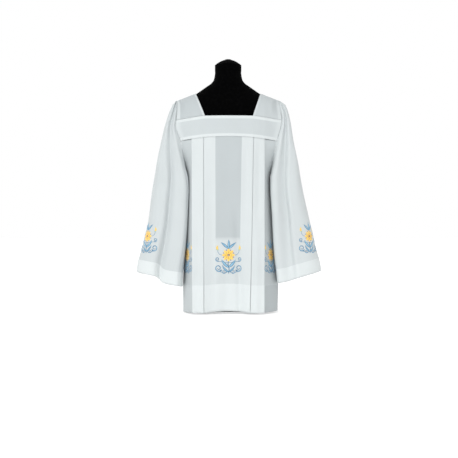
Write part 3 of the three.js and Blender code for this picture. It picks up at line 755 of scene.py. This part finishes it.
class Sheet:
    """One cut piece of cloth: its main layer, and the edges and hems turned in behind it."""

    def __init__(self, name, grid, outward, veil_and_shade):
        self.name, self.grid, self.outward = name, grid, outward
        self.rows, self.columns = np.arange(grid.shape[0]), np.arange(grid.shape[1])
        self.veil_and_shade = np.broadcast_to(veil_and_shade, grid.shape[:2]).astype(float).copy()
        self.normals = grid_normals(grid, outward)
        self.across = arc_lengths(grid, 1)
        self.down = arc_lengths(grid, 0)
        self.turned = []

    def turn_in(self, rows, columns, veil_and_shade, layers=1):
        """Adds layers of turned-in cloth behind a block of the grid, and brightens that block."""
        block = np.ix_(rows, columns)
        for layer in range(1, layers + 1):
            inset = self.grid[block] - self.normals[block] * (LAYER * layer)
            self.turned.append((inset, self.across[block], self.down[block]))
        self.veil_and_shade[block] = np.minimum(self.veil_and_shade[block], veil_and_shade)

    def near(self, lengths, axis, width, from_end=False):
        """Indices of the lines within a distance of an edge, on average."""
        mean = lengths.mean(axis=1 - axis)
        mean = mean[-1] - mean if from_end else mean
        return np.flatnonzero(mean <= width + 1e-6)

    def turn_in_sides(self, rows, veil_and_shade):
        for from_end in (False, True):
            self.turn_in(rows, self.near(self.across, 1, ARMHOLE_ALLOWANCE, from_end), veil_and_shade)

    def turn_up_hem(self, start, veil_and_shade, ridge):
        """The hem below row start, with a whiter ridge where its raw edge is turned under."""
        self.hem_row = start
        self.turn_in(self.rows[start:], self.columns, veil_and_shade)
        self.veil_and_shade[start:start + 2] = ridge

    def build(self, material, node, rests_on):
        shells = [(self.grid, self.across, self.down, self.veil_and_shade)]
        shells += [(grid, u, v, np.full(u.shape, VEIL_HIDDEN)) for grid, u, v in self.turned]
        points, faces, uv, veil_and_shade, first = [], [], [], [], 0
        for grid, u, v, shade in shells:
            rows, columns = grid.shape[:2]
            faces.append(grid_faces(rows, columns, first, flip=self.outward > 0))
            points.append(grid.reshape(-1, 3))
            uv.append(np.stack([u, v], axis=-1).reshape(-1, 2) * MM)
            veil_and_shade.append(shade.ravel())
            first += rows * columns
        obj = make_mesh(self.name, np.concatenate(points), np.concatenate(faces), material,
                        np.concatenate(uv), np.concatenate(veil_and_shade))
        wall = obj.modifiers.new("wall", "SOLIDIFY")
        wall.thickness = WALL * MM
        wall.offset = 0
        add_piece(obj, node)


def even_downs(length, hem, step):
    """Fractions down a piece, with a close pair of rows at the top of its hem."""
    hem_start = 1 - hem / length
    turn = HEM_TURN / length
    above = np.linspace(0, hem_start, int(length * hem_start / step))
    inside = np.linspace(hem_start + turn, 1, max(4, int(hem / step)))
    return np.concatenate([above[:-1], [hem_start - 0.8 / length, hem_start], inside])


def hem_row(downs, length, hem):
    """The row where a hem starts."""
    return int(np.flatnonzero(downs >= 1 - hem / length - 1e-6)[0])


def stitch_lines(name, sheet, lines, material):
    """Rows of small raised stitches on a sheet. A line is its rows and columns in the grid."""
    # A stitch is three rings of four points: both sides, the top and the foot.
    swell = np.array([0.45, 1, 0.45])
    body = np.concatenate([grid_faces(3, 4, 0, wrap=True), [[3, 2, 1, 0], [8, 9, 10, 11]]])
    points, faces, first = [], [], 0
    for rows, columns in lines:
        line, normals = sheet.grid[rows, columns], sheet.normals[rows, columns]
        run = arc_lengths(line, 0)
        starts = np.arange(1.0, run[-1] - STITCH["length"], STITCH["pitch"])
        at = starts[:, None] + STITCH["length"] * np.array([0, 0.5, 1])
        where, up = (np.stack([np.interp(at, run, part[:, axis]) for axis in range(3)], axis=-1)
                     for part in (line, normals))
        up = unit(up)
        along = unit(where[:, 2] - where[:, 0])[:, None]
        aside = unit(np.cross(along, up))
        thick = STITCH["width"] * swell[None, :, None]
        core = where + up * WALL / 2
        ring = [core + aside * thick, core + up * thick * 0.8, core - aside * thick, core - up * 0.1]
        points.append(np.stack(ring, axis=2).reshape(-1, 3))
        steps = 12 * np.arange(len(starts))[:, None, None]
        faces.append((body[None] + steps).reshape(-1, 4) + first)
        first += 12 * len(starts)
    add_piece(make_mesh(name, np.concatenate(points), np.concatenate(faces), material))


def row_line(sheet, row):
    return np.full(len(sheet.columns), row % len(sheet.rows)), sheet.columns


def column_line(sheet, column):
    return sheet.rows, np.full(len(sheet.rows), column % len(sheet.columns))


def stitch_garment(sheets, material):
    """Topstitching along the hems, the yoke band, the neck sides and the cuffs."""
    for node, sheet in sheets.items():
        if node.startswith(("skirt", "sleeve")):
            lines = [row_line(sheet, sheet.hem_row)]
        elif node.startswith("yoke_band"):
            lines = [row_line(sheet, 1), row_line(sheet, -2)]
        else:
            lines = [column_line(sheet, 1)]
        stitch_lines(f"{node}_stitches", sheet, lines, material)


def build_skirt(facing, node, material):
    length = BAND_BOTTOM[facing] - HEM_BOTTOM["strip"]
    downs = even_downs(length, HEM, ROW_STEP)
    grid, veil_and_shade = skirt_grid(facing, downs)
    sheet = Sheet(node + "_cloth", grid, facing, veil_and_shade)
    sheet.turn_in_sides(sheet.rows, veil_and_shade=0.2)
    hem = hem_row(downs, length, HEM)
    sheet.turn_up_hem(hem, veil_and_shade=0.03, ridge=-0.06)
    # The side panels' hems get painted shade, darker on the right.
    sheet.veil_and_shade[hem:, :SIDE_STEPS] = PAINTED_SHADE_SIDE_HEM["left"]
    sheet.veil_and_shade[hem:, -SIDE_STEPS:] = PAINTED_SHADE_SIDE_HEM["right"]
    band = node.replace("skirt", "yoke_band") + "_cloth"
    sheet.build(material, node, [band, "form_torso_cover"])
    return sheet


def build_band(facing, node, material):
    sheet = Sheet(node + "_cloth", band_grid(facing, BAND_ROWS, BAND_COLUMNS), facing, VEIL_BAND)
    from_end = np.minimum(sheet.across, sheet.across[:, -1:] - sheet.across)
    sheet.veil_and_shade = mix(VEIL_BAND_END, VEIL_BAND, smooth((from_end - 8) / 26))
    sheet.turn_in_sides(sheet.rows, veil_and_shade=0.5)
    for from_bottom in (False, True):
        edge = sheet.near(sheet.down, 0, SEAM_ALLOWANCE, from_bottom)
        sheet.turn_in(edge, sheet.columns, veil_and_shade=0.1, layers=2)
    sheet.build(material, node, "form_torso_cover")
    return sheet


def build_shoulder(side, node, material):
    drops = 1 - np.linspace(0, 1, SHOULDER_ROWS) ** 0.8
    rows = [(FRONT, drop) for drop in drops] + [(BACK, drop) for drop in drops[-2::-1]]
    grid = shoulder_grid(rows, side, np.linspace(0, 1, SHOULDER_COLUMNS))
    # The shoulder's grey: see-through of the form, with painted shade on the left.
    sheet = Sheet(node + "_cloth", grid, SIDES[side], VEIL_AND_SHADE_SHOULDER[side])
    sheet.turn_in(sheet.rows, sheet.near(sheet.across, 1, NECK_EDGE), veil_and_shade=0.5)
    sheet.turn_in(sheet.rows, sheet.near(sheet.across, 1, ARMHOLE_ALLOWANCE, True), veil_and_shade=0.4)
    sheet.build(material, node, "form_torso_cover")
    return sheet


def build_sleeve(side, node, material):
    length = SLEEVE_TOP - (CUFF[side]["inner"] + CUFF[side]["outer"]) / 2
    downs = even_downs(length, CUFF_HEM, ROW_STEP)
    grid = sleeve_grid(side, downs, SLEEVE_COLUMNS)
    # The sleeve is painted grey: painted shade of its hollow inside.
    sheet = Sheet(node + "_cloth", grid, -SIDES[side], PAINTED_SHADE_SLEEVE[side])
    sheet.turn_in_sides(sheet.rows[3:], veil_and_shade=0.1)
    sheet.turn_up_hem(hem_row(downs, length, CUFF_HEM), veil_and_shade=0.0, ridge=-0.12)
    sheet.build(material, node, [f"yoke_shoulder_{side}_cloth", "form_torso_cover"])
    return sheet


# ---- Embroidery ---------------------------------------------------------------------------------

def curve(points, steps):
    """A smooth line through points, as a Catmull-Rom spline."""
    points = np.array(points, float)
    padded = np.vstack([2 * points[0] - points[1], points, 2 * points[-1] - points[-2]])
    t = np.linspace(0, len(points) - 1, steps)
    k = np.minimum(t.astype(int), len(points) - 2)
    u = (t - k)[:, None]
    a, b, c, d = (padded[k + offset] for offset in range(4))
    return 0.5 * (2 * b + (c - a) * u + (2 * a - 5 * b + 4 * c - d) * u ** 2
                  + (3 * b - a - 3 * c + d) * u ** 3)


class Stitching:
    """Raised satin-stitch bands on a flat motif. A point is (across, up, height)."""

    def __init__(self):
        self.points, self.faces, self.uv, self.count = [], [], [], 0

    def band(self, spine, widths, height, lift=0.0):
        """A closed band along a spine, with a half width at each of its points."""
        spine = np.asarray(spine, float)
        widths = np.maximum(np.broadcast_to(widths, len(spine)), 0.15)
        ahead = unit(np.gradient(spine, axis=0))
        aside = np.stack([-ahead[:, 1], ahead[:, 0]], axis=-1)
        run = arc_lengths(spine, 0)
        profile = [(-1, 0), (-0.6, 0.75), (0, 1), (0.6, 0.75), (1, 0)]
        rows = []
        for out, up in profile:
            flat = spine + aside * (widths * out)[:, None]
            raised = lift + height * up * np.minimum(widths / 1.2, 1)
            rows.append(np.column_stack([flat, raised]))
        ring = np.stack(rows, axis=1)
        steps, across = ring.shape[:2]
        self.faces += grid_faces(steps, across, self.count, wrap=True).tolist()
        self.faces.append([self.count + k for k in range(across)][::-1])
        self.faces.append([self.count + (steps - 1) * across + k for k in range(across)])
        self.points.append(ring.reshape(-1, 3))
        uv = np.stack([np.repeat(run[:, None], across, axis=1), widths[:, None] * np.array(
            [out for out, _ in profile])], axis=-1)
        self.uv.append(uv.reshape(-1, 2) * MM)
        self.count += steps * across

    def leaf(self, start, control, end, width, height, lift=0.0, steps=18):
        """A pointed leaf or petal on a bent spine."""
        t = np.linspace(0, 1, steps)[:, None]
        start, control, end = (np.array(point, float) for point in (start, control, end))
        spine = mix(mix(start, control, t), mix(control, end, t), t)
        widths = width * np.sin(np.pi * np.linspace(0.02, 0.98, steps) ** 0.8) ** 0.8
        self.band(spine, widths, height, lift)

    def build(self, name, material, slot, place):
        points = place(np.concatenate(self.points))
        add_piece(make_mesh(name, points, self.faces, material, np.concatenate(self.uv)))


def blossom(gold, amber, centre, reach, petals):
    """A round flower: petals with a vein each, knots between them, and a raised ring."""
    centre = np.array(centre, float)

    def ray(angle, share):
        return centre + np.array([math.cos(angle), math.sin(angle)]) * reach * share

    for angle in np.pi / 2 + np.linspace(0, 2 * np.pi, petals, endpoint=False):
        base, tip = ray(angle, 0.18), ray(angle, 1)
        gold.leaf(base, mix(base, tip, 0.6), tip, reach * 0.24, 1.0)
        amber.leaf(mix(base, tip, 0.12), mix(base, tip, 0.3), mix(base, tip, 0.55), 1.1, 0.7, lift=0.75)
        between = angle + np.pi / petals
        amber.leaf(ray(between, 0.7224), ray(between, 0.84), ray(between, 0.9408), 1.9, 0.8)
    ring = [ray(angle, 0.13) for angle in np.linspace(0, 2 * np.pi, 30)]
    amber.band(ring, 1.3, 0.9, lift=0.5)


def veined_leaf(blue, sky, side, start, control, end, width):
    """A blue leaf with a paler heart and a raised vein, on one side of the stem."""
    start, control, end = (np.array([side * x, y], float) for x, y in (start, control, end))
    blue.leaf(start, control, end, width, 0.8, steps=24)
    sky.leaf(mix(start, end, 0.06), control, mix(start, end, 0.95), width - 2.9, 0.75, lift=0.55, steps=24)
    t = np.linspace(0.2, 0.8, 14)[:, None]
    blue.band(mix(mix(start, control, t), mix(control, end, t), t), 0.55, 0.5, lift=1.2)


def scroll(blue, sky, amber, side, centre, radius, turns, start_angle, weight):
    """A tendril that curls in on itself to a small knot."""
    inwards = np.linspace(0, 1, 46)
    angle = np.radians(start_angle) + 2 * np.pi * turns * inwards
    shrink = radius * (1 - 0.72 * inwards)
    spiral = np.column_stack([side * (centre[0] + shrink * np.cos(angle)),
                              centre[1] + shrink * np.sin(angle)])
    taper = weight * (1 - 0.55 * inwards)
    blue.band(spiral, taper, 0.9)
    sky.band(spiral[3:22], taper[3:22] * 0.3, 0.5, lift=0.75)
    amber.band([spiral[-1] + (0.1, 0), spiral[-1] + (side * 2.2, 0.4)], 1.0, 0.7)


def sprig():
    """A plain flowering sprig: a round gold blossom among blue leaves, scrolls and two gold buds."""
    threads = {colour: Stitching() for colour in THREADS}
    gold, amber, green, blue, sky = threads.values()
    blossom(gold, amber, **BLOSSOM)
    blue.band(curve(STEM, 36), 1.8, 1.0, lift=0.2)
    veined_leaf(blue, sky, 1, *TOP_LEAF)
    for side in (-1, 1):
        for leaf in LEAVES:
            veined_leaf(blue, sky, side, *leaf)
        for turn in SCROLLS:
            scroll(blue, sky, amber, side, *turn)
        for points, weight in STALKS:
            blue.band(curve([(side * x, y) for x, y in points], 24), weight, 0.8)
        start, control, end = ((side * x, y) for x, y in BUD[:3])
        gold.leaf(start, control, end, BUD[3], 1.0)
        green.leaf((start[0] - side * 4, start[1] + 1), start, (start[0] + side * 7, start[1] + 4), 1.8, 1.4)
    return threads


def run_at(away, run, start):
    """How far along a row its cloth first gets start millimetres away from the middle plane."""
    nearest = int(np.argmin(away[:len(away) // 2]))
    passed = max(1, nearest + int(np.argmax(away[nearest:] >= start)))
    share = (start - away[passed - 1]) / max(away[passed] - away[passed - 1], 1e-6)
    return mix(run[passed - 1], run[passed], float(np.clip(share, 0, 1)))


def cloth_place(sheet, columns, start, centre, foot, scale=1.0):
    """Maps a motif to a sheet: across runs along the cloth, up is height above the floor.

    columns picks the sheet's columns, in the order that across grows. Across is 0 at centre
    millimetres along them, where start gives their origin's |x|, or None for the first column.
    """
    heights = np.arange(foot - 12, foot + MOTIF_HEIGHT * scale + 14, LATTICE["up"])
    grid, normals = sheet.grid[:, columns], sheet.normals[:, columns]
    lines, ways = [], []
    for k in range(grid.shape[1]):
        z = grid[::-1, k, 2]
        lines.append([np.interp(heights, z, grid[::-1, k, axis]) for axis in range(3)])
        ways.append([np.interp(heights, z, normals[::-1, k, axis]) for axis in range(3)])
    lines = np.moveaxis(np.array(lines), 2, 0)
    ways = np.moveaxis(np.array(ways), 2, 0)
    run = arc_lengths(lines, 1)
    if start is not None:
        for row in range(len(heights)):
            run[row] -= run_at(np.abs(lines[row, :, 0]), run[row], start)
    reach = np.arange(-MOTIF_WIDTH * 0.62, MOTIF_WIDTH * 0.62, LATTICE["across"])
    table = np.zeros((len(heights), len(reach), 6))
    for row in range(len(heights)):
        for axis in range(3):
            table[row, :, axis] = np.interp(reach + centre, run[row], lines[row, :, axis])
            table[row, :, axis + 3] = np.interp(reach + centre, run[row], ways[row, :, axis])

    def place(points):
        across, up, raised = points[:, 0] * scale, points[:, 1] * scale + foot, points[:, 2]
        i = np.clip((up - heights[0]) / LATTICE["up"], 0, len(heights) - 1.001)
        j = np.clip((across - reach[0]) / LATTICE["across"], 0, len(reach) - 1.001)
        row, column = i.astype(int), j.astype(int)
        u, v = (i - row)[:, None], (j - column)[:, None]
        near = mix(table[row, column], table[row, column + 1], v)
        far = mix(table[row + 1, column], table[row + 1, column + 1], v)
        found = mix(near, far, u)
        return found[:, :3] + unit(found[:, 3:]) * (WALL / 2 - 0.1 + raised)[:, None]
    return place


def embroider(name, materials, *where, **sizes):
    """The sprig in its five threads, laid on a sheet; where and sizes are cloth_place's."""
    place = cloth_place(*where, **sizes)
    for colour, stitching in sprig().items():
        stitching.build(f"{name}_{colour}", materials[colour], THREADS[colour][2], place)


def embroider_garment(sheets):
    materials = {colour: thread_material(colour, dark, light) for colour, (dark, light, _) in THREADS.items()}
    front = sheets["skirt_front"]
    middle = SIDE_STEPS + len(STATIONS)
    face = SINGLE_STEPS + 1 + TRIPLE_STEPS
    shown = np.arange(middle - face, middle + face + 1)
    centre = front.across[:, middle].mean() - front.across[:, middle - face].mean() + MIDDLE_SHIFT
    embroider("motif_middle", materials, front, shown, None, centre, SKIRT_FOOT)
    panels = {"left": np.arange(SIDE_STEPS + UNDER_STEPS, -1, -1)}
    panels["right"] = front.columns[-1] - panels["left"]
    for side, place in SIDE_MOTIFS.items():
        embroider(f"motif_side_{side}", materials, front, panels[side], foot=SKIRT_FOOT, **place)
    outside = np.arange(0, int(SLEEVE_COLUMNS * 0.75))
    for side in SIDES:
        embroider(f"motif_sleeve_{side}", materials, sheets[f"sleeve_{side}"], outside, **SLEEVE_MOTIF)


# ---- Dress form and stand -----------------------------------------------------------------------

def turned_body(name, profile, sides, material):
    """A closed body turned about Z from [radius, height] points; the ends lie on the axis."""
    ring = np.linspace(0, 2 * np.pi, sides, endpoint=False)
    rings = profile[1:-1]
    points = [[radius * math.cos(a), radius * math.sin(a), z] for radius, z in rings for a in ring]
    faces = grid_faces(len(rings), sides, 0, wrap=True).tolist()
    points += [[0, 0, profile[0][1]], [0, 0, profile[-1][1]]]
    low, high = len(points) - 2, len(points) - 1
    last = (len(rings) - 1) * sides
    for k in range(sides):
        faces.append([low, (k + 1) % sides, k])
        faces.append([high, last + k, last + (k + 1) % sides])
    return make_mesh(name, points, faces, material)


def rounded_profile(corners, radius, steps=5):
    """A profile whose corners, all but the two on the axis, are rounded."""
    profile = [corners[0]]
    for before, corner, after in zip(corners, corners[1:], corners[2:]):
        before, corner, after = (np.array(point, float) for point in (before, corner, after))
        reach = min(radius, 0.45 * np.linalg.norm(before - corner), 0.45 * np.linalg.norm(after - corner))
        start = corner + unit(before - corner) * reach
        end = corner + unit(after - corner) * reach
        for t in np.linspace(0, 1, steps):
            point = mix(mix(start, corner, t), mix(corner, end, t), t)
            profile.append(point.tolist())
    return profile + [corners[-1]]


def build_torso(material):
    z = np.concatenate([np.linspace(TORSO_TOP, 900, 60), np.linspace(895, TORSO_BOTTOM, 90)])[:, None]
    angle = np.linspace(0, 2 * np.pi, TORSO_SIDES, endpoint=False)[None, :]
    power = TORSO("power", z)
    x = TORSO("half", z) * signed_power(np.cos(angle), 2 / power)
    along_y = signed_power(np.sin(angle), 2 / power)
    y = along_y * np.where(along_y < 0, TORSO("front", z), TORSO("back", z))
    points = np.stack([x, y, np.broadcast_to(z, x.shape)], axis=-1).reshape(-1, 3)
    rows = len(z)
    faces = grid_faces(rows, TORSO_SIDES, 0, wrap=True, flip=True).tolist()
    faces.append(list(range(TORSO_SIDES)))
    faces.append(list(range((rows - 1) * TORSO_SIDES, rows * TORSO_SIDES))[::-1])
    return make_mesh("form_torso_cover", points, faces, material, flat=2)


def node_z(node):
    low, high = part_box(node)
    return low[2] / MM, high[2] / MM


def node_radius(node):
    low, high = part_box(node)
    return (high[0] - low[0]) / 2 / MM


def build_cap(material):
    """The cap: a short straight rim under a shallow dome that is flat where the knob sits."""
    low, high = node_z("form_cap")
    radius, flat = node_radius("form_cap"), node_radius("form_knob")
    rim = high - CAP_DOME
    profile = rounded_profile([[0, low], [radius, low], [radius, rim]], 2)[:-1]
    for out in np.linspace(1, flat / radius, 26):
        rise = (1 - out ** 2) / (1 - (flat / radius) ** 2)
        profile.append([radius * out, rim + CAP_DOME * rise])
    return turned_body("form_cap_cover", profile + [[0, high]], 96, material)


def build_knob(material):
    low, high = node_z("form_knob")
    radius = node_radius("form_knob")
    profile = [[0, low], [radius - 0.6, low], [radius, low + 0.6]]
    for out in np.linspace(0.97, 0.05, 12):
        profile.append([radius * out, high - (high - low - 0.9) * out ** 2.6])
    return turned_body("form_knob_turned", profile + [[0, high]], 64, material)


def build_tube(node, rounding, material):
    """A turned cylinder of the stand, with rounded edges, in the place of its node."""
    low, high = node_z(node)
    radius = node_radius(node)
    corners = [[0, low], [radius, low], [radius, high], [0, high]]
    return turned_body(node + "_turned", rounded_profile(corners, rounding), 64, material)


def build_dress_form():
    cover, paint = form_material(), paint_material()
    pieces = [(build_torso(cover), "form_torso", "form_cover"), (build_cap(cover), "form_cap", "form_cover")]
    pieces.append((build_knob(knob_material()), "form_knob", "form_knob"))
    for node, rounding in (("stand_flange", 2), ("stand_pole", 1)):
        pieces.append((build_tube(node, rounding, paint), node, "stand_paint"))
    for piece, node, slot in pieces:
        add_piece(piece, node)
    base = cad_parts["stand_base"]
    base.data.materials.clear()
    base.data.materials.append(paint)


# ---- Camera, light and floor --------------------------------------------------------------------

def place_camera():
    camera = bpy.data.cameras.new("camera")
    camera.lens, camera.sensor_width = CAMERA["lens"], CAMERA["sensor"]
    eye = bpy.data.objects.new("camera", camera)
    eye.location = CAMERA["place"]
    eye.rotation_euler = (math.pi / 2, 0, 0)
    bpy.context.scene.collection.objects.link(eye)
    bpy.context.scene.camera = eye


def lay_floor():
    finish = Finish("floor", roughness=0.9, specular=0.0)
    tone = finish.noise(finish.place(), 3.0)
    finish.give("Base Color", finish.mix(tone, FLOOR["dark"], FLOOR["pale"]))
    finish.give("Emission Color", (1, 1, 1, 1))
    finish.give("Emission Strength", FLOOR["glow"])
    reach = FLOOR["reach"]
    corners = [[-reach, -reach, 0], [reach, -reach, 0], [reach, reach, 0], [-reach, reach, 0]]
    make_mesh("floor", corners, [[0, 1, 2, 3]], finish.material)


def light_room():
    """A room with pale walls and a dimmer ceiling, and soft suns."""
    scene = bpy.context.scene
    world = bpy.data.worlds.new("studio")
    world.use_nodes = True
    nodes, links = world.node_tree.nodes, world.node_tree.links
    direction = nodes.new("ShaderNodeTexCoord")
    split = nodes.new("ShaderNodeSeparateXYZ")
    level = nodes.new("ShaderNodeMapRange")
    level.interpolation_type = "SMOOTHSTEP"
    for key, value in CEILING.items():
        level.inputs[key].default_value = value
    links.new(direction.outputs["Generated"], split.inputs[0])
    links.new(split.outputs["Z"], level.inputs["Value"])
    links.new(level.outputs[0], nodes["Background"].inputs["Color"])
    scene.world = world
    scene.view_settings.view_transform = "Standard"
    for name, (power, spread, height, aside) in LIGHTS.items():
        lamp = bpy.data.lights.new(name, "SUN")
        lamp.energy, lamp.angle = power, math.radians(spread)
        body = bpy.data.objects.new(name, lamp)
        body.rotation_euler = (math.radians(90 - height), 0, math.radians(-aside))
        scene.collection.objects.link(body)


# ---- Assembly -----------------------------------------------------------------------------------

def build_garment():
    cloth = cloth_material()
    sheets = {}
    for side in SIDES:
        node = f"yoke_shoulder_{side}"
        sheets[node] = build_shoulder(side, node, cloth)
    for facing, name in ((FRONT, "front"), (BACK, "back")):
        sheets[f"yoke_band_{name}"] = build_band(facing, f"yoke_band_{name}", cloth)
        sheets[f"skirt_{name}"] = build_skirt(facing, f"skirt_{name}", cloth)
    for side in SIDES:
        node = f"sleeve_{side}"
        sheets[node] = build_sleeve(side, node, cloth)
    return sheets


place_camera()
lay_floor()
light_room()
build_dress_form()
garment = build_garment()
stitch_garment(garment, stitch_thread_material())
embroider_garment(garment)
